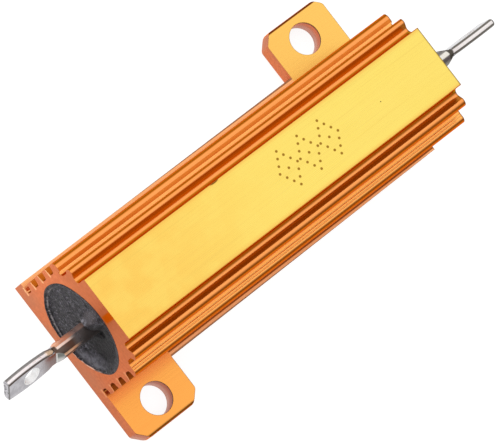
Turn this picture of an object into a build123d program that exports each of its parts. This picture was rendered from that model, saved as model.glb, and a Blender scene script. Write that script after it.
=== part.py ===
from build123d import *
import math
import os

# Wire-wound power resistor in a finned aluminium housing, in millimetres.
# It stands on its flat base. X runs along the housing, Y across it and Z up.
# The origin is the middle of the mounting face.

# Housing: an extruded length with a round bore from end to end
body_length = 49.0
bore_radius = 5.6
bore_floor = 1.75
top_wall = 2.55
side_wall = 0.75
base_thickness = 2.0
base_edge_round = 0.45

# Side grooves, counted up from the base
groove_count = 5
groove_depth = 0.9
groove_root_height = 1.0
groove_mouth_height = 1.45
groove_root_round = 0.35
fin_tip_round = 0.12

# Section above the side fins: a shoulder, a thin crown fin, a notch and the flat top block
shoulder_width = 1.35
shoulder_drop = 0.9
shoulder_round = 0.6
crown_groove_depth = 0.43
crown_groove_rise = 0.8
crown_tip_width = 0.75
crown_tip_rise = 1.55
crown_slope_width = 0.6
crown_round = 0.3
crown_outer_round = 0.6
notch_width = 0.7
notch_depth = 0.42
notch_round = 0.3
block_rise = 1.95
block_foot_round = 0.55
block_round = 0.12

# Crown fin above the far ear: thinner on its outer side
far_crown_thinning = 0.17
far_crown_round = 0.4

# Raised rim along the outer side of the shoulder above the far ear
rim_width = 0.7
rim_slope_width = 0.5
rim_slope_drop = 0.07
rim_foot_width = 0.08
rim_rise = 0.4

# Fine lines that the die leaves along the shoulder beside the near ear
die_line_count = 2
die_line_pitch = 0.3
die_line_width = 0.2
die_line_depth = 0.035

# Base flanges: milled back to a narrow strip, a little askew, except for one ear at each end
strip_reach = 0.65
strip_skew = 0.4
ear_reach = 6.15
ear_length = 8.7
ear_corner_cut = 1.25
far_corner_cut = 0.9
ear_corner_round = 0.6
ear_hole_radius = 1.85
ear_hole_inset = 4.4
ear_hole_reach = 3.25

# Wound element: core, end caps and ribbon, potted a little off the bore's axis
core_radius = 3.5
core_end_chamfer = 0.3
cap_wall = 0.4
cap_skirt = 5.0
cap_bevel = 0.35
ribbon_width = 1.2
ribbon_thickness = 0.3
ribbon_turns = 9
ribbon_clearance = 0.03
end_cover = 5.1
element_shift_x = 0.55
element_shift_y = -0.35

# Terminals: a round rod pressed into a pierced flat blade
lead_radius = 1.0
lead_exposed = 4.9
press_ramp = 0.95
blade_length = 6.5
blade_width = 2.8
blade_thickness = 0.9
blade_flare = 0.95
blade_neck = 0.85
blade_bulge = 0.2
blade_edge_round = 0.38
far_tip_round = 0.3
blade_hole_radius = 1.05
blade_hole_inset = 3.4
near_blade_roll = 30.0
far_blade_roll = -7.0

# Potting: cast to the bore, and sunk a little towards the middle of each end
dish_depth = 0.3

# Sizes that follow from those above
half_length = body_length / 2
bore_height = bore_floor + bore_radius
body_height = bore_height + bore_radius + top_wall
groove_root = bore_radius + side_wall
fin_half_width = groove_root + groove_depth
crown_half_width = fin_half_width - shoulder_width
far_crown_half_width = crown_half_width - far_crown_thinning
crown_groove_root = crown_half_width - crown_groove_depth
block_half_width = crown_half_width - crown_tip_width - crown_slope_width - notch_width
notch_height = body_height - block_rise
crown_height = notch_height + notch_depth
top_groove_height = crown_height - crown_tip_rise
bottom_groove_height = base_thickness + groove_root_height / 2
groove_pitch = (top_groove_height - bottom_groove_height) / (groove_count - 1)
shoulder_height = top_groove_height - shoulder_drop
rim_height = shoulder_height + rim_rise
strip_half_width = fin_half_width + strip_reach
flange_half_width = fin_half_width + ear_reach
ear_hole_x = half_length - ear_hole_inset
ear_hole_y = fin_half_width + ear_hole_reach
element_half_length = half_length - end_cover
core_half_length = element_half_length - cap_wall
cap_radius = core_radius + cap_wall
helix_radius = core_radius + ribbon_clearance + ribbon_thickness / 2
winding_radius = helix_radius + ribbon_thickness / 2 + ribbon_clearance
winding_half_length = core_half_length - cap_skirt
rod_length = end_cover + lead_exposed


def side_groove(height):
    """Outline of one side groove, from the tip of the fin below it to the tip of the fin above."""
    return [
        (fin_half_width, height - groove_mouth_height / 2),
        (groove_root, height - groove_root_height / 2),
        (groove_root, height + groove_root_height / 2),
        (fin_half_width, height + groove_mouth_height / 2),
    ]


def section_outline(side):
    """One half of the section, as (across, height), from the base's middle to the top's middle."""
    crown_side = far_crown_half_width if side > 0 else crown_half_width
    flange = [(0, 0), (flange_half_width, 0), (flange_half_width, base_thickness)]
    sides = side_groove(bottom_groove_height)[1:]
    for level in range(1, groove_count - 1):
        sides += side_groove(bottom_groove_height + level * groove_pitch)
    if side > 0:
        sides += [
            (fin_half_width, rim_height),
            (fin_half_width - rim_width, rim_height),
            (fin_half_width - rim_width - rim_slope_width, rim_height - rim_slope_drop),
            (fin_half_width - rim_width - rim_slope_width - rim_foot_width, shoulder_height),
        ]
    else:
        sides += [(fin_half_width, shoulder_height)]
    shoulder = [
        (crown_side, shoulder_height),
        (crown_groove_root, top_groove_height - groove_root_height / 2),
        (crown_groove_root, top_groove_height + groove_root_height / 2),
        (crown_side, top_groove_height + crown_groove_rise),
    ]
    crown = [
        (crown_side, crown_height),
        (crown_half_width - crown_tip_width, crown_height),
        (block_half_width + notch_width, notch_height),
        (block_half_width, notch_height),
        (block_half_width, body_height),
        (0, body_height),
    ]
    return [(side * half_width, height) for half_width, height in flange + sides + shoulder + crown]


def corners(sketch, points):
    """Vertices of a sketch at the points given and at their mirror images."""
    return sketch.vertices().filter_by(
        lambda v: any(math.dist((abs(v.X), v.Y), point) < 1e-4 for point in points)
    )


def groove_points(sketch, index):
    """Vertices of all full side grooves with one place in side_groove's list."""
    heights = [bottom_groove_height + level * groove_pitch for level in range(groove_count - 1)]
    return corners(sketch, [side_groove(height)[index] for height in heights])


def ear_corners(sketch, reach):
    """Vertices of the ears' plan within reach of their outer sides, in order along X."""
    outer = sketch.vertices().filter_by(lambda v: abs(v.Y) > flange_half_width - reach - 1e-4)
    return outer.sort_by(Axis.X)


# Corners of the section that are rounded, apart from the side grooves': half width, height, radius
rounded_corners = [
    (flange_half_width, 0, base_edge_round),
    (flange_half_width, base_thickness, base_edge_round),
    (fin_half_width, shoulder_height, shoulder_round),
    (fin_half_width, rim_height, shoulder_round),
    (crown_groove_root, top_groove_height - groove_root_height / 2, groove_root_round),
    (crown_groove_root, top_groove_height + groove_root_height / 2, groove_root_round),
    (crown_half_width, crown_height, crown_outer_round),
    (far_crown_half_width, crown_height, far_crown_round),
    (crown_half_width - crown_tip_width, crown_height, crown_round),
    (block_half_width + notch_width, notch_height, notch_round),
    (block_half_width, notch_height, block_foot_round),
    (block_half_width, body_height, block_round),
]

element_axis = Axis((0, element_shift_y, bore_height), (1, 0, 0))
element_plane = Plane((element_shift_x, element_shift_y, bore_height), x_dir=(1, 0, 0), z_dir=(0, -1, 0))

# Finned, bored and drilled housing
with BuildPart() as housing:
    with BuildSketch(Plane.YZ.offset(-half_length)) as section:
        with BuildLine():
            Polyline(*section_outline(1))
            Polyline(*section_outline(-1))
        make_face()
        fillet(groove_points(section, 1) + groove_points(section, 2), groove_root_round)
        fillet(groove_points(section, 0) + groove_points(section, 3), fin_tip_round)
        for half_width, height, radius in rounded_corners:
            fillet(corners(section, [(half_width, height)]), radius)
        for line in range(die_line_count):
            line_y = -(crown_half_width + fin_half_width - shoulder_round / 2) / 2
            line_y += (line - (die_line_count - 1) / 2) * die_line_pitch
            Polygon(
                (line_y - die_line_width / 2, shoulder_height),
                (line_y, shoulder_height - die_line_depth),
                (line_y + die_line_width / 2, shoulder_height),
                align=None,
                mode=Mode.SUBTRACT,
            )
        with Locations((0, bore_height)):
            Circle(bore_radius, mode=Mode.SUBTRACT)
    extrude(amount=body_length)
    with BuildSketch() as plan:
        Rectangle(body_length, 2 * strip_half_width, rotation=strip_skew)
        for end in (-1, 1):
            with Locations((end * (half_length - ear_length / 2), end * flange_half_width / 2)):
                Rectangle(ear_length, flange_half_width)
        chamfer(ear_corners(plan, 0)[-1], far_corner_cut)
        chamfer(ear_corners(plan, 0)[:-1], ear_corner_cut)
        fillet(ear_corners(plan, ear_corner_cut), ear_corner_round)
    extrude(amount=body_height, mode=Mode.INTERSECT)
    with Locations((-ear_hole_x, -ear_hole_y, base_thickness), (ear_hole_x, ear_hole_y, base_thickness)):
        Hole(ear_hole_radius, depth=base_thickness)

# Ceramic rod that carries the winding
with BuildPart() as ceramic_core:
    with BuildSketch(Plane.YZ.offset(element_shift_x)):
        with Locations((element_shift_y, bore_height)):
            Circle(core_radius)
    extrude(amount=core_half_length, both=True)
    chamfer(ceramic_core.edges().filter_by(GeomType.CIRCLE), core_end_chamfer)


def end_cap(end):
    """Drawn steel cup pressed over one end of the core, with its closed face outwards."""
    with BuildPart() as cap:
        with BuildSketch(element_plane) as wall:
            with BuildLine():
                Polyline(
                    (end * core_half_length, 0),
                    (end * core_half_length, core_radius),
                    (end * winding_half_length, core_radius),
                    (end * winding_half_length, cap_radius),
                    (end * element_half_length, cap_radius),
                    (end * element_half_length, 0),
                    close=True,
                )
            make_face()
            chamfer(corners(wall, [(element_half_length, cap_radius)]), cap_bevel)
        revolve(axis=element_axis)
    return cap.part


# Resistance ribbon, wound in one layer between the caps
with BuildPart() as resistance_winding:
    travel = 2 * winding_half_length - ribbon_width - 2 * ribbon_clearance
    start = (element_shift_x - travel / 2, element_shift_y, bore_height)
    with BuildLine() as ribbon_path:
        Helix(travel / ribbon_turns, travel, helix_radius, center=start, direction=(1, 0, 0))
    with BuildSketch(Plane(ribbon_path.line @ 0, x_dir=(1, 0, 0), z_dir=ribbon_path.line % 0)):
        Rectangle(ribbon_width, ribbon_thickness)
    sweep(is_frenet=True)


def terminal(end, roll, tip_round=0):
    """Round lead welded to one cap, pressed flat past the housing and pierced for the wire."""
    tilt = math.radians(roll)
    weld = (element_shift_x + end * element_half_length, element_shift_y, bore_height)
    outwards = (end, 0, 0)
    blade_face = (0, -math.cos(tilt), math.sin(tilt))
    blade_edge = (0, math.sin(tilt), math.cos(tilt))
    flat_plane = Plane(weld, x_dir=outwards, z_dir=blade_face)
    side_plane = Plane(weld, x_dir=outwards, z_dir=blade_edge)
    tip = rod_length + blade_length
    with BuildPart() as lead:
        with BuildSketch(flat_plane):
            with BuildLine():
                Polyline(
                    (rod_length - press_ramp, 0),
                    (rod_length - press_ramp, blade_neck * lead_radius),
                    (rod_length, lead_radius),
                    (rod_length + blade_flare, blade_width / 2),
                )
                ThreePointArc(
                    (rod_length + blade_flare, blade_width / 2),
                    ((rod_length + blade_flare + tip) / 2, blade_width / 2 + blade_bulge),
                    (tip, blade_width / 2),
                )
                Line((tip, blade_width / 2), (tip, 0))
                mirror(about=Plane.XZ)
            make_face()
        extrude(amount=blade_thickness / 2, both=True)
        long_edges = lead.edges().filter_by(
            lambda e: rod_length - press_ramp < flat_plane.to_local_coords(e @ 0.5).X < tip - 1e-3
            and abs(flat_plane.to_local_coords(e @ 0.5).Z) > blade_thickness / 4
        )
        fillet(long_edges, blade_edge_round)
        with BuildSketch(Plane(weld, z_dir=outwards)):
            Circle(lead_radius)
        extrude(amount=rod_length + blade_flare)
        with BuildSketch(side_plane):
            for side in (-1, 1):
                Polygon(
                    (rod_length - press_ramp, side * lead_radius),
                    (rod_length, side * blade_thickness / 2),
                    (rod_length + 2 * blade_flare, side * blade_thickness / 2),
                    (rod_length + 2 * blade_flare, side * 2 * lead_radius),
                    (rod_length - press_ramp, side * 2 * lead_radius),
                    align=None,
                )
        extrude(amount=blade_width, both=True, mode=Mode.SUBTRACT)
        with BuildSketch(flat_plane):
            with Locations((rod_length + blade_hole_inset, 0)):
                Circle(blade_hole_radius)
        extrude(amount=blade_thickness, both=True, mode=Mode.SUBTRACT)
        if tip_round:
            fillet(lead.faces().sort_by(Axis.X)[-1].edges(), tip_round)
    return lead.part


# Space that the wound element and its leads take up in the potting
with BuildPart() as element_space:
    with BuildSketch(element_plane) as space:
        with BuildLine():
            Polyline(
                (0, winding_radius),
                (winding_half_length, winding_radius),
                (winding_half_length, cap_radius),
                (element_half_length, cap_radius),
                (element_half_length, lead_radius),
                (body_length, lead_radius),
                (body_length, 0),
                (0, 0),
            )
            mirror(about=Plane.YZ)
        make_face()
        chamfer(corners(space, [(element_half_length, cap_radius)]), cap_bevel)
    revolve(axis=element_axis)

# Potting that fills the bore around the element
with BuildPart() as cement_fill:
    with BuildSketch(Plane.XZ.shift_origin((0, 0, bore_height))):
        Polygon(
            (half_length - dish_depth, 0),
            (half_length, bore_radius),
            (-half_length, bore_radius),
            (dish_depth - half_length, 0),
            align=None,
        )
    revolve(axis=Axis((0, 0, bore_height), (1, 0, 0)))
    add(element_space.part, mode=Mode.SUBTRACT)

pieces = {
    "housing": housing.part,
    "cement_fill": cement_fill.part,
    "ceramic_core": ceramic_core.part,
    "resistance_winding": resistance_winding.part,
    "near_end_cap": end_cap(-1),
    "far_end_cap": end_cap(1),
    "near_terminal": terminal(-1, near_blade_roll),
    "far_terminal": terminal(1, far_blade_roll, far_tip_round),
}

os.makedirs("parts", exist_ok=True)
for name, piece in pieces.items():
    piece.label = name
    export_step(piece, f"parts/{name}.step")
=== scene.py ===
import bmesh
import bpy
import math
from mathutils import Matrix, Vector, noise


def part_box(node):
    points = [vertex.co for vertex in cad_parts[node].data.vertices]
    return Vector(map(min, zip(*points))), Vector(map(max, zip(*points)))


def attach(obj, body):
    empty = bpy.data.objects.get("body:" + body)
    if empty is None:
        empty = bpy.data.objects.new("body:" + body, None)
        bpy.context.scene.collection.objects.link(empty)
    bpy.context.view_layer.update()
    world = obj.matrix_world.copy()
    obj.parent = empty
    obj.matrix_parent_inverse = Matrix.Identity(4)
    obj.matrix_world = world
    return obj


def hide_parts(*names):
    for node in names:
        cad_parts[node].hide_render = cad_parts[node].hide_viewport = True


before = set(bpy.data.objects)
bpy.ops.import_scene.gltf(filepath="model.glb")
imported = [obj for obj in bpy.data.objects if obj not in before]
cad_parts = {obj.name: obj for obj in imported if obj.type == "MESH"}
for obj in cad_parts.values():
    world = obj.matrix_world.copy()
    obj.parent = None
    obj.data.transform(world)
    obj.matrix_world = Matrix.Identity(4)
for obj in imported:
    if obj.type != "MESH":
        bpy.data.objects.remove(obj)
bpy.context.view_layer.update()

mm = 0.001

# Camera, at the angle, distance and tilt of the photograph
camera_azimuth = math.radians(-89.597)
camera_elevation = math.radians(63.773)
camera_tilt = math.radians(52.1407)
camera_target = Vector((-1.457, -1.767, 7.35)) * mm
camera_distance = 488.105 * mm
camera_lens = 331.2
camera_clip = (0.01, 20)

# Floor: half its side, its own colour, and what the eye and reflections see of it
floor_reach = 3.0
floor_colour = (0.9, 0.9, 0.9, 1)
floor_glow = 0.86
floor_shade = (0.30, 0.30, 0.30, 1)

# Sky: strength near the horizon and above, heights between which it changes, and its lean; then
# strength of the light behind, and how it comes in to the back, from below and from above
sky_horizon = 0.38
sky_dome = 1.22
sky_low = 0.45
sky_high = 0.83
sky_lean = 0.30
sky_behind = 0.8
sky_behind_x = (-0.4, -0.85)
sky_behind_low = (0.12, 0.3)
sky_behind_high = (0.75, 0.5)

# Sizes of the housing in millimetres, from its solid and as in the part
_, housing_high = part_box("housing")
half_length = housing_high.x / mm
body_height = housing_high.z / mm
bore_radius = 5.6
bore_height = 7.35
block_half_width = 3.85
fin_half_width = 7.25
groove_low = 2.5
groove_pitch = 2.48
groove_top = (10.6, 10.8)
ear_top = 2.0
ear_inner = 15.8
ear_hole = (20.1, 10.5)
ear_hole_radius = 1.85

# Soft changes that several dyes of the housing share: between its sides, towards its near end,
# to surfaces that face up, and from dark to light streaks; then the radius of its soft edges
# The change between the sides paints the unequal light that falls on them
side_fade = (-1.0, 1.0)
near_end_fade = (0, -10.0)
facing_up_fade = (0.85, 0.98)
streak_fade = (0.3, 0.7)
edge_radius = 0.11

# Places on the housing with a colour of their own, most of them painted light and shade. A pair
# of pairs holds the heights between which the colour fades in and out, and a single pair the limits
# of one soft change. Three numbers are a middle, the distance from it up to which the colour is
# full, and the one from which there is none.
block_foot_z = ((13.2, 13.3), (15.2, 15.3))
block_foot_side = (4.18, 4.08)
rim_slope_z = ((11.72, 11.78), (11.97, 12.02))
rim_slope_y = (6.26, 0.2, 0.26)
rim_foot_z = ((11.40, 11.46), (11.90, 11.94))
rim_foot_y = (5.92, 0.15, 0.2)
die_lines_z = ((11.40, 11.45), (11.62, 11.68))
die_lines_y = (-6.4, 0.4, 0.5)
die_line_floor = (11.500, 11.515)
minus_shoulder = (-5.35, -5.45)
ear_edges = (7.35, 7.45)
ear_corner_side = (8.0, 8.4)
beside_fins_side = (9.2, 7.4)
strip_outline = (7.76, 7.84)
strip_inner_shade = (7.56, 7.48)
table_reflection_z = (5.0, 1.0)
deep_cut_z = (10.0, 13.0)
far_edge_z = (3.0, 4.0)
orange_band_z = (13.0, 13.6)
orange_band_y = (-0.75, 0.3, 0.6)
burr_level = (-0.72, 0.10, 0.24)
burr_side = (6.72, 0.45, 0.6)

# Dots on the flat: centre and pitch along and across, columns on each side of the centre and
# to a diamond, steps to its outline, and soft edge of a dot
dot_centre = (5.0, 0.25)
dot_pitch = (0.43, 0.72)
dot_columns = 10
dot_period = 7
dot_steps = 3
dot_edge = (0.19, 0.12)

# Specks on the flat: cells to a millimetre, soft edge, and the draw above which a cell has one
speck_scale = 0.3
speck_edge = (0.04, 0.025)
speck_threshold = 0.45

# Nick on the flat's edge: centre and half sizes
nick_centre = (-6.0, 3.85)
nick_reach = (0.7, 0.22)

# Terminals: rod, where it turns into the pierced blade at each end, blade with its hole, and
# scales of the fine lines
rod_radius = 1.0
rod_y = -0.35
rod_ends = {-1: 28.85, 1: 29.95}
blade_length = 6.5
blade_face = 0.45
hole_inset = 3.4
hole_radius = 1.05
drawn_lines = (0.4, 8.0, 8.0)
near_roll = 30.0
far_roll = -7.0

# Potting's colours: angle around the bore of its slope's painted sheen; angles of its lip and of
# the painted glints at the rim and radius of the lip, each with its full and its last distance; and
# centres and half sizes of its spots, across and up from the bore's middle
slope_angle = -2.36
lip_angle = (-0.72, 0.55, 0.95)
rim_glint_angle = (-2.2, 0.3, 0.5)
lip_radius = (5.27, 0.02, 0.10)
hollow_spot = ((-2.5, 0.5), (3.4, 3.8))
ridge_spot = ((0.4, 3.2), (0.9, 2.4))
lump_spot = ((0.45, 1.8), (0.5, 0.7))
crack_spot = ((0.56, 0.75), (0.2, 1.1))
crack_rim_spot = ((0.22, 1.42), (0.42, 0.22))

# Potting's mesh: points around, rings inside the bore and on the smear, and depth of its seam
potting_points = 256
potting_rings = 80
smear_rings = 5
seam_depth = 0.6

# Potting's face: depths and heights of its forms, in millimetres
face_depth = 0.1
sunk_depth = 0.95
crest_height = 0.22
lump_height = 0.35
pit_depth = 0.5
rod_groove_depth = 0.12
lip_height = 0.03
low_lip_height = 0.2
trough_depth = 0.1
coarse_grain = 0.045
fine_grain = 0.03


class Graph:
    """Short calls that add nodes to one material's or world's tree and return their outputs."""

    def __init__(self, owner):
        owner.use_nodes = True
        self.tree = owner.node_tree
        nodes = self.tree.nodes
        self.shader = nodes.get("Principled BSDF") or nodes["Background"]

    def put(self, value, socket):
        if isinstance(value, bpy.types.NodeSocket):
            self.tree.links.new(value, socket)
        else:
            socket.default_value = value

    def node(self, kind, inputs=(), output=0, **settings):
        node = self.tree.nodes.new(kind)
        for name, value in settings.items():
            setattr(node, name, value)
        for name, value in dict(inputs).items():
            self.put(value, node.inputs[name])
        return node.outputs[output]

    def maths(self, operation, *values):
        return self.node("ShaderNodeMath", enumerate(values), operation=operation)

    def product(self, first, *others):
        for value in others:
            first = self.maths("MULTIPLY", first, value)
        return first

    def away(self, value, middle):
        """Distance of the value from the middle."""
        return self.maths("ABSOLUTE", self.maths("SUBTRACT", value, middle))

    def square_sum(self, first, second):
        return self.maths("ADD", self.maths("POWER", first, 2), self.maths("POWER", second, 2))

    def hypot(self, first, second):
        return self.maths("SQRT", self.square_sum(first, second))

    def ellipse(self, across, along, centre, reach):
        """0 at the centre, 1 at the reach along both ways, and more outside."""
        first = self.maths("DIVIDE", self.maths("SUBTRACT", across, centre[0]), reach[0])
        second = self.maths("DIVIDE", self.maths("SUBTRACT", along, centre[1]), reach[1])
        return self.square_sum(first, second)

    def ramp(self, value, low, high, start=0.0, end=1.0):
        """Smooth step of value from low to high, which gives start to end."""
        inputs = {"Value": value, "From Min": low, "From Max": high, "To Min": start, "To Max": end}
        return self.node("ShaderNodeMapRange", inputs, interpolation_type="SMOOTHSTEP")

    def between(self, value, rise, fall):
        """0 before the rise, 1 from its end to the start of the fall, and 0 after the fall."""
        return self.product(self.ramp(value, *rise), self.ramp(value, fall[1], fall[0]))

    def near(self, value, middle, full, none):
        """1 up to the full distance from the middle, and 0 from the second distance on."""
        return self.ramp(self.away(value, middle), none, full)

    def band(self, value, middle, reach):
        """Soft stripe: 1 near the middle and 0 further away than its reach."""
        return self.near(value, middle, reach * 0.5, reach)

    def spot(self, across, along, centre, reach):
        """Soft ellipse: 1 near its centre and 0 outside its reach along both ways."""
        return self.ramp(self.ellipse(across, along, centre, reach), 1.0, 0.1)

    def mix(self, share, first, second):
        inputs = {0: share, 6: first, 7: second}
        return self.node("ShaderNodeMix", inputs, output=2, data_type="RGBA")

    def noise(self, place, scale, detail=3.0, roughness=0.5):
        inputs = {"Vector": place, "Scale": scale, "Detail": detail, "Roughness": roughness}
        return self.node("ShaderNodeTexNoise", inputs)

    def stretched_noise(self, place, scales, detail=3.0, roughness=0.5):
        """Noise with a scale of its own along each of X, Y and Z."""
        place = self.node("ShaderNodeVectorMath", {0: place, 1: scales}, operation="MULTIPLY")
        return self.noise(place, 1.0, detail, roughness)

    def bump(self, height, strength, distance, **more):
        """Normals of a surface with that relief, whose distance is in millimetres."""
        inputs = {"Strength": strength, "Distance": distance * mm, "Height": height, **more}
        return self.node("ShaderNodeBump", inputs)

    def parts(self, vector):
        node = self.tree.nodes.new("ShaderNodeSeparateXYZ")
        self.put(vector, node.inputs[0])
        return node.outputs[0], node.outputs[1], node.outputs[2]

    def millimetres(self):
        """Place on the object in millimetres, in the part's own frame."""
        inputs = {0: self.node("ShaderNodeTexCoord", output=3), "Scale": 1 / mm}
        return self.node("ShaderNodeVectorMath", inputs, operation="SCALE")

    def finish(self, **inputs):
        for name, value in inputs.items():
            self.put(value, self.shader.inputs[name.replace("_", " ")])


def colour(red, green, blue):
    """Linear colour from the values that a picture shows, 0 to 255."""
    def linear(value):
        share = value / 255
        return share / 12.92 if share <= 0.04045 else ((share + 0.055) / 1.055) ** 2.4
    return (linear(red), linear(green), linear(blue), 1)


class Housing(Graph):
    """Graph of the housing's material, with places, directions and textures that its dyes share."""

    def __init__(self, owner):
        super().__init__(owner)
        self.place = self.millimetres()
        self.x, self.y, self.z = self.parts(self.place)
        self.side = self.maths("ABSOLUTE", self.y)
        self.nx, ny, self.nz = self.parts(self.node("ShaderNodeTexCoord", output=1))
        self.outward = self.product(ny, self.maths("SIGN", self.y))
        self.facing_up = self.ramp(self.nz, *facing_up_fade)

        # Streaks that run along the extrusion, slow changes of the dye, and grit of the cut faces
        along = (0.05, 6.0, 6.0)
        self.streaks = self.stretched_noise(self.place, along, detail=4.0, roughness=0.6)
        self.mottle = self.noise(self.place, 0.35)
        self.grit = self.noise(self.place, 2.6, detail=4.0, roughness=0.6)

    def by_side(self, minus, plus):
        """The first colour on the -Y side of the part, and the second on the +Y side, painting
        their unequal light.
        """
        return self.mix(self.ramp(self.y, *side_fade), minus, plus)

    def on_minus_side(self):
        """1 on the -Y side of the part, and 0 on the +Y side."""
        return self.ramp(self.y, *reversed(side_fade))

    def at_near_end(self):
        """1 towards the near end, and 0 in the far half."""
        return self.ramp(self.x, *near_end_fade)


def dotted_diamonds(g):
    """Generic pattern of three dotted diamonds along the flat."""
    column = g.maths("DIVIDE", g.maths("SUBTRACT", g.x, dot_centre[0]), dot_pitch[0])
    row = g.maths("DIVIDE", g.maths("SUBTRACT", g.y, dot_centre[1]), dot_pitch[1])
    near_column = g.maths("ROUND", column)
    near_row = g.maths("ROUND", row)
    off_x = g.product(g.maths("SUBTRACT", column, near_column), dot_pitch[0])
    off_y = g.product(g.maths("SUBTRACT", row, near_row), dot_pitch[1])

    # A diamond has one dot at its middle, and the others on its outline, equal steps from there
    counted = g.maths("ADD", near_column, dot_columns)
    step = g.maths("SUBTRACT", g.maths("FLOORED_MODULO", counted, dot_period), dot_steps)
    rank = g.maths("ADD", g.maths("ABSOLUTE", step), g.maths("ABSOLUTE", near_row))
    middle = g.maths("COMPARE", rank, 0, 0.1)
    chosen = g.maths("ADD", g.maths("COMPARE", rank, dot_steps, 0.1), middle)
    within = g.maths("LESS_THAN", g.maths("ABSOLUTE", near_column), dot_columns + 0.5)
    return g.product(chosen, within, g.ramp(g.hypot(off_x, off_y), *dot_edge))


def small_specks(g):
    """Few and tiny spots, at most one in each cell of a coarse pattern."""
    cells = {"Vector": g.place, "Scale": speck_scale}
    distance = g.node("ShaderNodeTexVoronoi", cells, output=0)
    pick = g.parts(g.node("ShaderNodeTexVoronoi", cells, output=1))[0]
    picked = g.maths("GREATER_THAN", pick, speck_threshold)
    return g.product(g.ramp(distance, *speck_edge), picked)


def painted_edge_shade(g, dye):
    """The dye with painted shade on the rounded edges along the fins, and along the ears' outer
    sides.
    """
    # Darker colours for the edges, deepest on the ears: painted shade
    on_shoulder = g.ramp(g.y, *minus_shoulder)
    edge = g.mix(on_shoulder, (1.0, 0.21, 0.010, 1), (0.66, 0.15, 0.010, 1))
    edge = g.by_side(edge, (0.58, 0.15, 0.008, 1))
    ear_edge = g.by_side((0.36, 0.10, 0.008, 1), (0.22, 0.055, 0.006, 1))
    edge = g.mix(g.ramp(g.side, *ear_edges), edge, ear_edge)

    # Where the surface turns outwards, and on the ears only where it still leans up
    rounded = g.product(g.ramp(g.outward, 0.25, 0.5), g.ramp(g.outward, 0.998, 0.95))
    leaning = g.maths("MAXIMUM", g.ramp(g.side, *reversed(ear_edges)), g.ramp(g.nz, 0.1, 0.3))
    return g.mix(g.product(rounded, leaning), dye, edge)


def fin_dye_and_shade(g, rim_slope_shade, rim_foot_highlight):
    """Deeper dye of the fins, crown and shoulder, with painted light and shade on its faces, edges,
    die lines, rim and grooves.
    """
    shares = g.ramp(g.streaks, *streak_fade)
    # A lighter copy of the dye on faces that look up and a deeper one on the rest: painted light
    # and shade
    light = g.mix(shares, (0.84, 0.30, 0.076, 1), (0.90, 0.345, 0.100, 1))
    deep = g.mix(shares, (0.80, 0.24, 0.024, 1), (0.84, 0.265, 0.032, 1))
    dye = painted_edge_shade(g, g.mix(g.facing_up, deep, light))

    # Die lines of the -Y shoulder, painted brighter as a highlight; slope of the +Y rim, darker as
    # painted shade, and its foot, brighter as a painted highlight
    drawn = g.product(g.between(g.z, *die_lines_z), g.near(g.y, *die_lines_y))
    lines = g.mix(g.ramp(g.z, *die_line_floor), (1.0, 0.46, 0.13, 1), (1.0, 0.40, 0.090, 1))
    dye = g.mix(drawn, dye, lines)
    slope = g.mix(g.ramp(g.x, -20.0, -8.0), colour(214, 106, 24), colour(230, 130, 46))
    dye = g.mix(rim_slope_shade, dye, slope)
    dye = g.mix(rim_foot_highlight, dye, (1.0, 0.44, 0.125, 1))

    # Painted shade at the foot of the block that carries the flat, and in the side grooves
    block_foot_shade = g.product(g.ramp(g.side, *block_foot_side), g.between(g.z, *block_foot_z))
    dye = g.mix(block_foot_shade, dye, (0.60, 0.26, 0.014, 1))
    groove_shade = g.ramp(g.side, fin_half_width, fin_half_width - 0.15)
    groove_shade = g.product(groove_shade, g.ramp(g.z, *reversed(groove_top)))
    return g.mix(groove_shade, dye, g.by_side((0.26, 0.050, 0.004, 1), (0.46, 0.105, 0.006, 1)))


def flat_dye_and_highlight(g):
    """Bright top flat: brushed and painted paler as a highlight, mottled and scratched, with dots,
    specks and one nick painted dark as the shade of its dent.
    """
    # Its pale yellow is partly the flat's own finish and partly a painted highlight
    flat = g.ramp(g.x, -half_length, 6.0)
    flat = g.mix(flat, (0.84, 0.52, 0.099, 1), (0.85, 0.645, 0.135, 1))
    flat = g.mix(g.ramp(g.mottle, 0.35, 0.65, end=0.35), flat, (0.86, 0.66, 0.148, 1))
    margin = g.ramp(g.side, block_half_width - 0.6, block_half_width, end=0.7)
    flat = g.mix(margin, flat, (0.80, 0.44, 0.085, 1))
    scratches = g.stretched_noise(g.place, (0.03, 2.4, 0.0), detail=5.0, roughness=0.7)
    flat = g.mix(g.ramp(scratches, 0.53, 0.66, end=0.25), flat, (0.72, 0.50, 0.10, 1))
    flat = g.mix(dotted_diamonds(g), flat, (0.32, 0.16, 0.016, 1))
    flat = g.mix(small_specks(g), flat, (0.10, 0.055, 0.02, 1))
    # Worn nick in the flat's edge, its dent painted dark as shade
    dent_shade = g.ramp(g.ellipse(g.x, g.y, nick_centre, nick_reach), 1.2, 0.6)
    dent_shade = g.product(dent_shade, g.ramp(g.z, body_height - 0.5, body_height - 0.3))
    return g.mix(dent_shade, flat, (0.20, 0.09, 0.015, 1))


def ear_dye_and_shade(g):
    """Tops of the ears: deeper towards the near end, and darker beside the fins on the -Y side as
    painted shade.
    """
    along = g.ramp(g.x, -half_length, half_length)
    ears = g.mix(along, (0.87, 0.35, 0.070, 1), (0.87, 0.50, 0.110, 1))
    shade_beside_fins = g.product(g.ramp(g.side, *beside_fins_side, end=0.7), g.on_minus_side())
    return g.mix(shade_beside_fins, ears, (0.86, 0.25, 0.065, 1))


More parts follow.
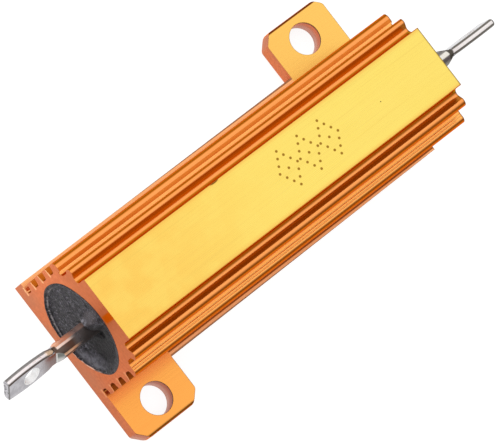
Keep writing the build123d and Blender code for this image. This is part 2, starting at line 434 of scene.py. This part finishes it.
def strip_dye_and_shade(g):
    """Narrow strips where flanges are milled away: pale, dark outside, and with painted shade
    inside at -Y.
    """
    strips = g.by_side((0.80, 0.35, 0.15, 1), (0.96, 0.46, 0.19, 1))
    strips = g.mix(g.ramp(g.side, *strip_outline), strips, (0.34, 0.14, 0.06, 1))
    # Painted shade along the inner side of the -Y strip, beside the fins
    inner_shade = g.product(g.ramp(g.side, *strip_inner_shade), g.on_minus_side())
    return g.mix(inner_shade, strips, (0.26, 0.065, 0.008, 1))


def burr_highlights(g):
    """Where painted highlights lie on the burred lower edges of the side grooves at the near end.
    """
    half_pitch = groove_pitch / 2
    level = g.maths("ADD", g.maths("SUBTRACT", g.z, groove_low), half_pitch)
    level = g.maths("SUBTRACT", g.maths("FLOORED_MODULO", level, groove_pitch), half_pitch)
    burr = g.product(g.near(level, *burr_level), g.near(g.side, *burr_side))
    burr = g.product(burr, g.ramp(g.y, *side_fade, start=0.4), g.at_near_end())
    grooved = g.ramp(g.z, *reversed(groove_top))
    return g.product(burr, grooved, g.ramp(g.grit, 0.35, 0.5, start=0.35))


def sawn_dye_and_painted_light(g, smear):
    """Sawn ends: gritty and paler low down as a painted reflection of the table, with a deeper
    orange band above the bore and painted highlights on the burred groove edges at the near end.
    """
    across = g.ramp(g.y, -6.0, 6.0)
    pale = g.mix(across, (0.74, 0.19, 0.046, 1), (0.86, 0.25, 0.080, 1))
    deep = g.mix(across, (0.56, 0.125, 0.026, 1), (0.70, 0.175, 0.048, 1))
    cut = g.mix(g.ramp(g.grit, 0.2, 0.8), deep, pale)
    saw = g.stretched_noise(g.place, (1.0, 9.0, 1.2), detail=2.0)
    cut = g.mix(g.ramp(saw, 0.35, 0.65, end=0.14), cut, (0.62, 0.18, 0.052, 1))
    # Paler low down: a painted reflection of the white table
    table_reflection = g.product(g.ramp(g.z, *table_reflection_z), g.ramp(g.mottle, 0.35, 0.6, start=0.3), 0.5)
    cut = g.mix(table_reflection, cut, (0.50, 0.20, 0.100, 1))
    cut = g.mix(g.ramp(g.z, *deep_cut_z, end=0.45), cut, (0.56, 0.14, 0.028, 1))
    # Deeper orange band above the bore at the near end
    cut = g.mix(g.product(smear, g.at_near_end()), cut, (0.72, 0.14, 0.004, 1))
    # Cream colour on the burred groove edges: a painted highlight
    return g.mix(burr_highlights(g), cut, (1.0, 0.52, 0.24, 1))


def milled_dye(g):
    """Milled corners and drilled walls: greyish below, brown above, and dark at the upper rim."""
    rings = g.stretched_noise(g.place, (0.5, 0.5, 5.0), detail=2.0)
    milled = g.by_side(colour(190, 108, 78), colour(226, 128, 82))
    milled = g.mix(g.ramp(g.z, 0.3, 1.5), colour(212, 160, 142), milled)
    milled = g.mix(g.ramp(rings, 0.4, 0.6, end=0.3), milled, colour(166, 96, 70))
    return g.mix(g.ramp(g.z, ear_top - 0.28, ear_top - 0.14), milled, colour(96, 50, 26))


def anodised_aluminium():
    """Gold-dyed aluminium: bright flat top, deeper orange fins, and matt salmon sawn faces."""
    material = bpy.data.materials.new("anodised_aluminium")
    g = Housing(material)
    x, y, z, side = g.x, g.y, g.z, g.side

    # Tops of the body, of the ears and of the strips beside them
    top = g.product(g.facing_up, g.ramp(z, body_height - 0.3, body_height - 0.1))
    ear = g.product(g.facing_up, g.ramp(z, ear_top + 0.3, ear_top + 0.1))
    along = g.product(x, g.maths("SIGN", y))
    strip = g.product(g.ramp(along, ear_inner + 0.1, ear_inner - 0.1), ear)

    # Fixing holes, sawn faces and milled corners of the ears
    hole_x = g.maths("SUBTRACT", g.maths("ABSOLUTE", x), ear_hole[0])
    to_hole = g.hypot(hole_x, g.maths("SUBTRACT", side, ear_hole[1]))
    in_hole = g.ramp(to_hole, ear_hole_radius + 0.06, ear_hole_radius + 0.02)
    in_hole = g.product(in_hole, g.ramp(g.nz, 0.7, 0.5))
    sawn = g.maths("MAXIMUM", g.ramp(g.maths("ABSOLUTE", g.nx), 0.5, 0.7), in_hole)
    corner = g.product(g.ramp(side, *ear_corner_side), g.ramp(z, ear_top + 0.1, ear_top))
    corner = g.product(corner, g.ramp(y, *side_fade, start=0.7, end=0.1))
    corner = g.product(corner, g.ramp(g.maths("ABSOLUTE", g.nx), 0.98, 0.92))

    # Deeper orange band above the bore at the near end; slope of the +Y rim, for painted shade, and
    # its foot, for a painted highlight
    smear = g.product(g.near(y, *orange_band_y), g.ramp(z, *orange_band_z))
    rim_slope_shade = g.product(g.between(z, *rim_slope_z), g.near(y, *rim_slope_y))
    rim_foot_highlight = g.product(g.between(z, *rim_foot_z), g.near(y, *rim_foot_y))

    body = g.mix(top, fin_dye_and_shade(g, rim_slope_shade, rim_foot_highlight), flat_dye_and_highlight(g))
    body = g.mix(ear, body, ear_dye_and_shade(g))
    body = g.mix(strip, body, strip_dye_and_shade(g))
    # Painted shade along the far end's edges, above the ears
    far_edge_shade = g.ramp(x, half_length - 0.2, half_length - 0.05, end=0.6)
    body = g.mix(g.product(far_edge_shade, g.ramp(z, *far_edge_z)), body, (0.20, 0.085, 0.015, 1))
    cut = g.mix(g.maths("MAXIMUM", in_hole, corner), sawn_dye_and_painted_light(g, smear), milled_dye(g))
    body = g.mix(sawn, body, cut)

    # Soft edges and drawn lines, with the rim's foot shaded as if level
    rough = g.ramp(g.streaks, *streak_fade, start=0.24, end=0.30)
    rough = g.maths("ADD", rough, g.product(sawn, 0.25))
    soft_edges = g.node("ShaderNodeBevel", {"Radius": edge_radius * mm}, samples=6)
    relief = g.bump(g.streaks, strength=0.015, distance=0.04, Normal=soft_edges)
    levelled = {0: rim_foot_highlight, 4: relief, 5: (0, 0, 1)}
    relief = g.node("ShaderNodeMix", levelled, output=1, data_type="VECTOR")
    # The rim slope's painted shade is made less metallic so that its colour shows
    painted_slope_share = g.product(g.maths("MAXIMUM", g.maths("SUBTRACT", rim_slope_shade, rim_foot_highlight), 0.0), 0.6)
    plain_cut = g.product(sawn, g.maths("SUBTRACT", 1.0, smear))
    edge_tint = g.mix(plain_cut, (0.85, 0.36, 0.08, 1), (1, 1, 1, 1))
    g.finish(Base_Color=body, Roughness=rough, Normal=relief, Specular_Tint=edge_tint)
    g.finish(Metallic=g.maths("SUBTRACT", 1.0, painted_slope_share), Coat_Weight=0.04, Coat_Roughness=0.25)
    return material


def potting_cement():
    """Dark grey potting with pale grains, painted shade in its hollow, a painted bluish sheen on
    its slope, and painted highlights on its lip, ridge, lump and crack's rim.
    """
    material = bpy.data.materials.new("potting_cement")
    g = Graph(material)
    place = g.millimetres()
    x, y, z = g.parts(place)
    across = g.product(y, g.product(g.maths("SIGN", x), -1))
    height = g.maths("SUBTRACT", z, bore_height)
    reach = g.hypot(across, height)
    around = g.maths("ARCTAN2", height, across)
    grains = g.noise(place, 2.6, detail=4.0, roughness=0.7)
    specks = g.noise(place, 4.0, detail=2.0, roughness=0.6)
    broken = g.noise(place, 1.6)

    # Grains and specks, painted shade in the hollow beside the rod, and painted highlights on the
    # ridge and lump above it
    base = g.mix(g.ramp(grains, 0.43, 0.58), colour(8, 6, 8), colour(52, 48, 55))
    base = g.mix(g.ramp(specks, 0.56, 0.64, end=0.8), base, colour(112, 108, 118))
    hollow = g.spot(across, height, *hollow_spot)
    dark = g.mix(g.ramp(grains, 0.43, 0.6), colour(6, 4, 5), colour(34, 28, 31))
    base = g.mix(hollow, base, dark)
    # Painted highlights on the ridge and on the lump
    ridge = g.spot(across, height, *ridge_spot)
    base = g.mix(g.product(ridge, 0.45), base, colour(118, 112, 116))
    lump = g.spot(across, height, *lump_spot)
    lump = g.product(lump, g.ramp(grains, 0.42, 0.56, end=0.9))
    base = g.mix(lump, base, colour(150, 148, 157))

    # Painted bluish sheen on the slope low on one side
    turn = g.away(around, slope_angle)
    slope = g.ramp(reach, g.ramp(turn, 0.0, 0.6, start=3.3, end=4.3), 4.8)
    slope = g.product(slope, g.ramp(reach, 5.4, 5.0), g.ramp(turn, 0.65, 0.2))
    slope = g.product(slope, g.ramp(broken, 0.35, 0.6, start=0.35))
    base = g.mix(slope, base, colour(110, 108, 116))

    # Painted highlight along the lip, painted shade as the dark outline of the whole, and painted
    # glints at the rim
    lip = g.product(g.near(reach, *lip_radius), g.near(around, *lip_angle))
    lip = g.product(lip, g.ramp(grains, 0.4, 0.58, start=0.1))
    base = g.mix(lip, base, colour(158, 150, 150))
    outline = g.product(g.ramp(reach, 5.45, 5.55), g.ramp(height, 2.0, -1.0, start=0.3, end=0.9))
    base = g.mix(outline, base, colour(30, 24, 26))
    patches = g.ramp(g.noise(place, 0.8, detail=4.0), 0.5, 0.56)
    rim_glints = g.product(g.near(around, *rim_glint_angle), patches, g.ramp(reach, 5.42, 5.48))
    base = g.mix(rim_glints, base, colour(238, 186, 160))

    # Crack above the rod, with a painted highlight on its rim
    rim = g.spot(across, height, *crack_rim_spot)
    rim = g.product(rim, g.ramp(grains, 0.4, 0.5, start=0.4))
    base = g.mix(rim, base, colour(206, 202, 204))
    bent = g.maths("ADD", across, g.product(g.maths("SUBTRACT", height, 0.8), 0.35))
    bent = g.maths("ADD", bent, g.product(g.maths("SUBTRACT", broken, 0.5), 0.4))
    crack = g.spot(bent, height, *crack_spot)
    base = g.mix(crack, base, colour(3, 2, 3))

    relief = g.bump(g.maths("SUBTRACT", grains, crack), strength=0.8, distance=0.14)
    rough = g.ramp(grains, 0.3, 0.7, start=0.3, end=0.55)
    g.finish(Base_Color=base, Roughness=rough, Normal=relief)
    g.finish(Metallic=0.0, Specular_IOR_Level=0.2)
    return material


class Lead(Graph):
    """Graph of one terminal's material, with places on it, its colour and its painted share."""

    def __init__(self, owner, end, roll):
        super().__init__(owner)
        self.is_near = end < 0
        self.rod_end = rod_ends[end]
        self.place = self.millimetres()
        x, y, z = self.parts(self.place)
        self.out = self.product(x, end)
        self.beside = self.maths("SUBTRACT", y, rod_y)
        self.above = self.maths("SUBTRACT", z, bore_height)
        from_axis = self.hypot(self.beside, self.above)
        self.round_part = self.ramp(from_axis, rod_radius - 0.07, rod_radius - 0.02)

        # Across the blade's face, and through its thickness
        sine = math.sin(math.radians(roll))
        cosine = math.cos(math.radians(roll))
        risen = self.product(self.above, cosine)
        self.width = self.maths("ADD", self.product(self.beside, sine), risen)
        moved = self.product(self.beside, cosine)
        self.depth = self.maths("SUBTRACT", self.product(self.above, sine), moved)

        # Colour, a little blotched, dark with a paler side where the rod leaves the potting, and
        # painted share
        blotches = self.ramp(self.noise(self.place, 1.3), 0.35, 0.7)
        self.base = self.mix(blotches, colour(182, 180, 184), colour(162, 160, 164))
        self.near_potting = self.ramp(self.out, half_length + 1.5, half_length + 0.5)
        near_potting_colour = self.ramp(self.beside, 0.3, 0.6)
        near_potting_colour = self.mix(near_potting_colour, colour(46, 38, 36), colour(150, 132, 128))
        self.base = self.mix(self.product(self.near_potting, 0.8), self.base, near_potting_colour)
        self.painted = self.product(self.near_potting, 0.5)

    def coat(self, mask, shade, share=0.0):
        """Puts the shade on the masked place, and counts the share of it as painted."""
        self.base = self.mix(mask, self.base, shade)
        if share:
            self.painted = self.maths("MAXIMUM", self.painted, self.product(mask, share))


def rod_looks(g):
    """Painted reflections, light and dark, along the top of the rod."""
    beside, out = g.beside, g.out
    if g.is_near:
        rod_reflections = g.mix(g.ramp(beside, 0.40, 0.52), colour(84, 63, 49), colour(214, 143, 110))
        warm_reflection = g.product(g.ramp(out, 27.4, 28.3), g.ramp(beside, 0.4, 0.6))
        rod_reflections = g.mix(warm_reflection, rod_reflections, colour(255, 186, 146))
        # Painted highlight streaks
        streak = g.product(g.band(beside, 0.33, 0.18), g.ramp(out, 25.7, 27.0))
        rod_reflections = g.mix(streak, rod_reflections, colour(255, 232, 218))
        streak = g.product(g.band(beside, -0.70, 0.15), g.ramp(out, 25.2, 26.4))
        rod_reflections = g.mix(streak, rod_reflections, colour(238, 184, 142))
        rod_reflections = g.mix(g.ramp(beside, -0.82, -0.9), rod_reflections, colour(108, 88, 74))
        shown = g.ramp(out, half_length + 0.9, half_length + 2.2, start=0.35)
    else:
        rod_reflections = g.mix(g.band(beside, 0.12, 0.34), colour(140, 136, 130), colour(252, 249, 238))
        rod_reflections = g.mix(g.band(beside, -0.38, 0.26), rod_reflections, colour(100, 90, 90))
        rod_reflections = g.mix(g.ramp(g.maths("ABSOLUTE", beside), 0.8, 0.9), rod_reflections, colour(104, 98, 90))
        shown = 1.0
    rod = g.product(g.ramp(out, g.rod_end - 0.05, g.rod_end - 0.3), g.ramp(g.above, -0.1, 0.2))
    shown = g.product(rod, g.round_part, shown)
    g.base = g.mix(g.product(shown, 0.95), g.base, rod_reflections)
    g.painted = g.maths("MAXIMUM", g.painted, g.product(shown, 0.85))


def pressed_slope(g):
    """Slope pressed into the near rod on the side that the picture shows, with light edges."""
    fade = (g.rod_end - 0.08, g.rod_end - 0.02)
    slope = g.between(g.out, (g.rod_end - 0.9, g.rod_end - 0.75), fade)
    slope = g.product(slope, g.ramp(g.depth, 0.4, 0.46), g.ramp(g.round_part, 1.0, 0.5))
    # Painted light and shade across the slope, and a painted highlight on its low edge
    shade = g.between(g.width, (-0.45, 0.2), (0.6, 0.74))
    pressed = g.mix(shade, colour(206, 205, 202), colour(112, 116, 110))
    low_edge_highlight = g.ramp(g.out, g.rod_end - 0.2, g.rod_end - 0.1)
    g.coat(slope, g.mix(low_edge_highlight, pressed, colour(226, 225, 220)), 0.8)


def blade_edge(g):
    """Rounded long edge of the blade, painted with reflections: dark, light and dark again, with a
    thin line of painted shade at the face.
    """
    edge = g.product(g.ramp(g.out, g.rod_end - 0.1, g.rod_end + 0.25), g.ramp(g.width, 0.95, 1.05))
    if g.is_near:
        edges = g.mix(g.ramp(g.depth, -0.32, 0.05), colour(100, 95, 92), colour(150, 145, 143))
        edges = g.mix(g.band(g.depth, 0.2, 0.18), edges, colour(250, 242, 242))
        warm_reflection = g.product(g.ramp(g.depth, -0.2, 0.1), g.ramp(g.out, 30.2, 29.6))
        edges = g.mix(warm_reflection, edges, colour(255, 222, 186))
        edges = g.mix(g.ramp(g.depth, 0.37, 0.40), edges, colour(94, 79, 73))
        edge = g.product(edge, g.ramp(g.depth, blade_face - 0.0005, blade_face - 0.004))
    else:
        edges = g.mix(g.band(g.depth, -0.05, 0.24), colour(112, 106, 98), colour(248, 242, 240))
        edge = g.product(edge, g.ramp(g.depth, 0.0005 - blade_face, 0.004 - blade_face))
    g.coat(edge, edges, 0.85)


def neck_looks(g):
    """Painted shade in the notch where the rod turns into the blade, and a painted reflection on
    the near blade's face beside it.
    """
    if g.is_near:
        notch = g.product(g.band(g.out, g.rod_end - 0.12, 0.34), g.ramp(g.depth, -0.4, -0.1))
        shade = colour(88, 66, 52)
    else:
        off_middle = g.maths("ABSOLUTE", g.beside)
        along = g.maths("ADD", g.out, g.product(off_middle, 0.3))
        notch = g.product(g.band(along, g.rod_end + 0.02, 0.36), g.ramp(off_middle, 0.8, 0.5))
        shade = colour(74, 68, 58)
    g.coat(g.product(notch, g.ramp(g.width, 0.6, 0.85)), shade, 0.6)
    if g.is_near:
        beside_neck = g.between(g.out, (g.rod_end - 0.05, g.rod_end), (29.8, 31.4))
        on_face = g.ramp(g.depth, blade_face - 0.01, blade_face - 0.001)
        warm_reflection = g.product(g.ramp(g.width, -0.2, 0.8), g.ramp(g.out, 30.6, 29.4))
        shade = g.mix(warm_reflection, colour(163, 158, 160), colour(146, 96, 84))
        g.coat(g.product(beside_neck, on_face), shade, 0.9)


def hole_and_tip(g):
    """Wall of the blade's hole painted white as a highlight, torn end of the near blade and dark
    end of the far one.
    """
    hole_x = g.maths("SUBTRACT", g.out, g.rod_end + hole_inset)
    wall = g.ramp(g.hypot(hole_x, g.width), hole_radius + 0.04, hole_radius + 0.01)
    g.coat(wall, (1, 1, 1, 1), 1.0)
    tip = g.rod_end + blade_length
    if g.is_near:
        torn = g.noise(g.place, 4.0, detail=2.0)
        sheared = g.mix(g.ramp(torn, 0.36, 0.48), colour(104, 102, 104), colour(190, 187, 192))
        sheared = g.mix(g.ramp(torn, 0.6, 0.68), sheared, colour(244, 243, 244))
        sheared = g.mix(g.ramp(g.depth, 0.2, 0.27), sheared, colour(96, 91, 90))
        g.coat(g.ramp(g.out, tip - 0.05, tip - 0.01), sheared, 0.7)
    else:
        g.coat(g.ramp(g.out, tip - 0.32, tip - 0.2), colour(96, 90, 84))


def tinned_lead(end, roll):
    """Bright tinned lead: painted reflections along its rod and its blade's edge, and fine drawn
    lines.
    """
    material = bpy.data.materials.new("tinned_lead")
    g = Lead(material, end, roll)
    rod_looks(g)
    if g.is_near:
        pressed_slope(g)
    blade_edge(g)
    neck_looks(g)
    hole_and_tip(g)

    lines = g.stretched_noise(g.place, drawn_lines, roughness=0.6)
    rough = g.maths("ADD", g.ramp(lines, 0.3, 0.7, start=0.12, end=0.2), g.product(g.near_potting, 0.3))
    metal = g.maths("SUBTRACT", 1.0, g.product(g.painted, 0.9))
    relief = g.bump(lines, strength=0.05, distance=0.03)
    g.finish(Base_Color=g.base, Roughness=rough, Normal=relief, Metallic=metal)
    return material


def tinned_metal(name, tint):
    """Plated steel and drawn alloy: bright metal with fine drawn lines."""
    material = bpy.data.materials.new(name)
    g = Graph(material)
    place = g.millimetres()
    lines = g.stretched_noise(place, drawn_lines, roughness=0.6)
    blotches = g.ramp(g.noise(place, 1.3), 0.35, 0.7)
    base = g.mix(blotches, tint, tuple(0.82 * c for c in tint[:3]) + (1,))
    g.finish(Base_Color=base, Roughness=g.ramp(lines, 0.3, 0.7, start=0.2, end=0.3), Metallic=1.0)
    g.finish(Normal=g.bump(lines, strength=0.05, distance=0.03))
    return material


def fired_ceramic():
    """Unglazed off-white ceramic."""
    material = bpy.data.materials.new("fired_ceramic")
    g = Graph(material)
    grains = g.noise(g.millimetres(), 3.0, detail=4.0)
    base = g.mix(grains, colour(236, 230, 214), colour(214, 206, 190))
    g.finish(Base_Color=base, Roughness=0.7)
    return material


def add_object(name, mesh, body=None):
    """New object in the scene, which rides on the body if one is named."""
    piece = bpy.data.objects.new(name, mesh)
    bpy.context.scene.collection.objects.link(piece)
    if body:
        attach(piece, body)
    return piece


def bump_at(distance, width):
    """Smooth bump of height 1 at distance 0, which falls away over width."""
    return math.exp(-((distance / width) ** 2))


def ease(value, low, high):
    """Smooth step from 0 at low to 1 at high."""
    share = min(max((value - low) / (high - low), 0), 1)
    return share * share * (3 - 2 * share)


def potting_rise(end, y, z):
    """How far the potting stands out from the housing's end at one place, in millimetres."""
    across = y * -end
    reach = math.hypot(y, z)
    inside = ease(bore_radius - reach, 0.0, 0.5)
    rod_gap = max(math.hypot(y - rod_y, z) - rod_radius, 0)

    # Sunk on one side of the rod, with a steep ridge above the rod and a sloping wall below
    beside = ease(rod_y - 0.1 - across, 0, 1.1)
    sunk = sunk_depth * beside * ease(bore_radius - reach, 0.1, 2.1) * ease(z, -5.6, -0.6)
    crest = crest_height * bump_at(across + 0.15, 0.5) * ease(z, 0.8, 1.6) * ease(-z, -5.2, -1.8)
    lump = lump_height * bump_at(math.hypot(across - 0.6, z - 1.75), 0.55)
    pit = pit_depth * bump_at(math.hypot(across + 1.5, z - 0.5), 0.7)
    rod_groove = rod_groove_depth * bump_at(rod_gap, 0.25)
    level = crest + lump - face_depth - sunk - pit - rod_groove

    # A lip stands proud around the lower side, with a narrow trough inside it
    low = bump_at(math.atan2(z, across) + 0.95, 1.0)
    lip = (lip_height + low_lip_height * low) * bump_at(reach - bore_radius + 0.1, 0.17)
    trough = trough_depth * low * bump_at(reach - bore_radius + 0.62, 0.2)

    place = Vector((end * 40, y, z))
    coarse = coarse_grain * noise.fractal(place * 1.2, 1.0, 2.0, 3)
    fine = fine_grain * noise.fractal(place * 3.4, 0.7, 2.0, 3)
    return (level - trough) * inside + lip + coarse + fine * inside


def smear_width(end, angle):
    """How far the potting is smeared over the bore's rim at one angle, in millimetres."""
    spot = Vector((end * 9, 1.7 * math.cos(angle), 1.7 * math.sin(angle)))
    width = 0.08 + 0.14 * noise.noise(spot) + 0.14 * bump_at(angle - math.pi / 2, 0.6)
    return max(width, 0.03)


def potting_ring(bm, end, ring):
    """One ring of points: inside the bore, on the smear beyond it, or sunk under the smear."""
    beyond = ring - potting_rings
    loop = []
    for step in range(potting_points):
        angle = 2 * math.pi * step / potting_points
        if beyond <= 0:
            radius = bore_radius * ring / potting_rings
        elif beyond <= smear_rings:
            radius = bore_radius + smear_width(end, angle) * beyond / smear_rings
        else:
            radius = bore_radius - 0.01
        y = radius * math.cos(angle)
        z = radius * math.sin(angle)
        if beyond > smear_rings:
            rise = -seam_depth
        else:
            rise = potting_rise(end, y, z)
        if 0 < beyond <= smear_rings:
            rise = max(rise, 0.01) * (1 - beyond / (smear_rings + 0.5)) + 0.01
        loop.append(bm.verts.new(((half_length + rise) * end * mm, y * mm, (bore_height + z) * mm)))
    return loop


def add_potting(material):
    """Cast filling of the bore, sunk, ridged and grainy at its ends, and smeared over its rim."""
    bm = bmesh.new()
    seams = []
    for end in (-1, 1):
        loops = [potting_ring(bm, end, ring) for ring in range(1, potting_rings + smear_rings + 2)]
        hub_x = (half_length + potting_rise(end, 0, 0)) * end * mm
        hub = bm.verts.new((hub_x, 0, bore_height * mm))
        for step in range(potting_points):
            after = (step + 1) % potting_points
            bm.faces.new((hub, loops[0][step], loops[0][after]))
            for inner, outer in zip(loops, loops[1:]):
                bm.faces.new((inner[step], outer[step], outer[after], inner[after]))
        seams.append(loops[-1])
    near, far = seams
    for step in range(potting_points):
        after = (step + 1) % potting_points
        bm.faces.new((near[step], far[step], far[after], near[after]))
    bmesh.ops.recalc_face_normals(bm, faces=bm.faces)
    mesh = bpy.data.meshes.new("potting")
    bm.to_mesh(mesh)
    bm.free()
    mesh.shade_smooth()
    mesh.materials.append(material)
    piece = add_object("potting", mesh, "root")
    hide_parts("cement_fill")


def add_floor():
    """White table that keeps a soft shadow, and looks white to the eye and in reflections."""
    mesh = bpy.data.meshes.new("floor")
    signs = ((-1, -1), (1, -1), (1, 1), (-1, 1))
    corners = [(x_sign * floor_reach, y_sign * floor_reach, 0) for x_sign, y_sign in signs]
    mesh.from_pydata(corners, [], [(0, 1, 2, 3)])
    material = bpy.data.materials.new("floor")
    g = Graph(material)
    rays = g.tree.nodes.new("ShaderNodeLightPath")
    seen = g.maths("MAXIMUM", rays.outputs["Is Camera Ray"], rays.outputs["Is Glossy Ray"])
    seen = g.maths("MAXIMUM", seen, rays.outputs["Is Transmission Ray"])
    shade = g.node("ShaderNodeBsdfDiffuse", {"Color": floor_shade})
    glow = g.node("ShaderNodeEmission", {"Strength": floor_glow})
    looks = g.node("ShaderNodeAddShader", {0: shade, 1: glow})
    plain = g.node("ShaderNodeBsdfDiffuse", {"Color": floor_colour})
    blend = g.node("ShaderNodeMixShader", {0: seen, 1: plain, 2: looks})
    g.tree.links.new(blend, g.tree.nodes["Material Output"].inputs["Surface"])
    mesh.materials.append(material)
    add_object("floor", mesh)


def add_sky():
    """Soft studio dome: bright above, dim near the horizon, and one more light low behind."""
    world = bpy.data.worlds.new("sky")
    bpy.context.scene.world = world
    g = Graph(world)
    x, y, z = g.parts(g.node("ShaderNodeTexCoord", output=0))
    leaning = g.maths("ADD", z, g.product(y, sky_lean))
    above = g.ramp(leaning, sky_low, sky_high, sky_horizon, sky_dome)
    behind = g.product(g.ramp(x, *sky_behind_x, end=sky_behind), g.ramp(z, *sky_behind_low))
    strength = g.maths("ADD", above, g.product(behind, g.ramp(z, *sky_behind_high)))
    g.finish(Color=(1, 1, 1, 1), Strength=strength)


def add_camera():
    """Camera that looks down at the near end, turned about its own line of sight."""
    data = bpy.data.cameras.new("camera")
    data.lens = camera_lens
    data.clip_start, data.clip_end = camera_clip
    camera = add_object("camera", data)
    back = Vector((
        math.sin(camera_azimuth) * math.cos(camera_elevation),
        -math.cos(camera_azimuth) * math.cos(camera_elevation),
        math.sin(camera_elevation),
    ))
    level = (-back).to_track_quat("-Z", "Y").to_matrix().to_4x4()
    tilt = Matrix.Rotation(camera_tilt, 4, "Z")
    camera.matrix_world = Matrix.Translation(camera_target + camera_distance * back) @ level @ tilt
    bpy.context.scene.camera = camera


gold = anodised_aluminium()
cement = potting_cement()
steel = tinned_metal("plated_steel", colour(200, 200, 202))
alloy = tinned_metal("resistance_alloy", colour(165, 160, 152))
ceramic = fired_ceramic()
finishes = {
    "housing": gold,
    "cement_fill": cement,
    "near_terminal": tinned_lead(-1, near_roll),
    "far_terminal": tinned_lead(1, far_roll),
    "near_end_cap": steel,
    "far_end_cap": steel,
    "resistance_winding": alloy,
    "ceramic_core": ceramic,
}
for name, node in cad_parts.items():
    node.data.materials.clear()
    node.data.materials.append(finishes[name])

add_potting(cement)
add_camera()
add_floor()
add_sky()
bpy.context.scene.view_settings.view_transform = "Standard"
